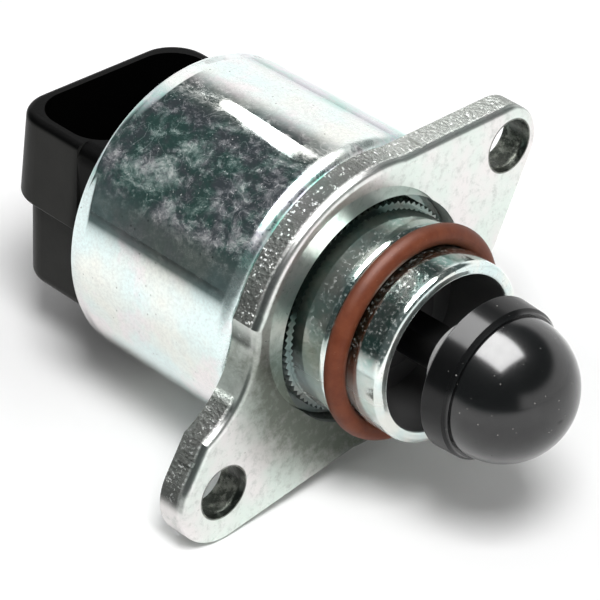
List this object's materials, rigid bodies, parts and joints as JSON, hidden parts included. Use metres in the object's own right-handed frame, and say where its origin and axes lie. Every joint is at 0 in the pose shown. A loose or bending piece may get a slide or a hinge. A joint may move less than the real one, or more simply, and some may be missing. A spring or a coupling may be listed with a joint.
{
  "type": "idle air control valve",
  "caption": "Flange-mounted stepper idle air control valve: zinc-plated motor can, sealed snout with a sliding black pintle, and a moulded end cap with an electrical socket.",
  "frame": {"origin": "midpoint between the two bolt holes in the plane of the flange's mounting face; the valve axis runs 1 mm beside it, towards the upper hole", "axes": "+X along the valve axis towards the pintle, +Z the way the connector socket opens, flange ears 33 degrees above +Y and below -Y"},
  "size_m": [0.0734, 0.0512, 0.0385],
  "materials": {
    "can_zinc": "bright zinc plate, scuffed",
    "flange_zinc": "satin zinc plate with rough sheared edges",
    "snout_zinc": "bright turned zinc plate",
    "ring_rubber": "dull brown red silicone",
    "cap_plastic": "fine moulded grain",
    "pintle_plastic": "smooth gloss with dust",
    "screw_steel": "dark oiled steel",
    "guide_plastic": "moulded",
    "seal_rubber": "dull",
    "bush_bronze": "sintered",
    "bearing_steel": "ground",
    "cage_brass": "pressed",
    "hub_plastic": "moulded",
    "magnet_ferrite": "sintered ferrite",
    "washer_steel": "stamped",
    "winding_copper": "enamelled wire",
    "bobbin_plastic": "moulded",
    "terminal_tin": "tin plated",
    "stator_steel": "stamped plate"
  },
  "bodies": {
    "housing": {"motor_can": "can_zinc", "mounting_flange": "flange_zinc", "snout": "snout_zinc", "snout_o_ring": "ring_rubber", "guide_bush": "guide_plastic", "end_cap": "cap_plastic", "can_seal_ring": "seal_rubber", "rear_bush": "bush_bronze", "bearing_outer_race": "bearing_steel", "terminal_1": "terminal_tin", "terminal_2": "terminal_tin", "terminal_3": "terminal_tin", "terminal_4": "terminal_tin", "stator_plate_1": "stator_steel", "stator_plate_2": "stator_steel", "stator_plate_3": "stator_steel", "stator_plate_4": "stator_steel", "bobbin_back": "bobbin_plastic", "bobbin_front": "bobbin_plastic", "winding_back": "winding_copper", "winding_front": "winding_copper"},
    "rotor": {"rotor_hub": "hub_plastic", "rotor_magnet": "magnet_ferrite", "thrust_washer": "washer_steel", "bearing_inner_race": "bearing_steel"},
    "ball_set": {"bearing_balls": "bearing_steel", "bearing_cage": "cage_brass"},
    "pintle": {"pintle": "pintle_plastic", "lead_screw": "screw_steel"}
  },
  "joints": [
    {"name": "rotor_spin", "type": "hinge", "parent": "housing", "child": "rotor", "pos_m": [0, 0.00084, 0.00055], "axis": [1, 0, 0], "range_deg": [-360, 2700]},
    {"name": "pintle_slide", "type": "slide", "parent": "housing", "child": "pintle", "axis": [1, 0, 0], "range_m": [-0.00752, 0.00102]},
    {"name": "cage_spin", "type": "hinge", "parent": "housing", "child": "ball_set", "pos_m": [0, 0.00084, 0.00055], "axis": [1, 0, 0], "range_deg": [-145, 1082]}
  ],
  "couplings": [
    {"joint": "pintle_slide", "follows": "rotor_spin", "m_per_rad": -0.00015915},
    {"joint": "cage_spin", "follows": "rotor_spin", "ratio": 0.4}
  ]
}
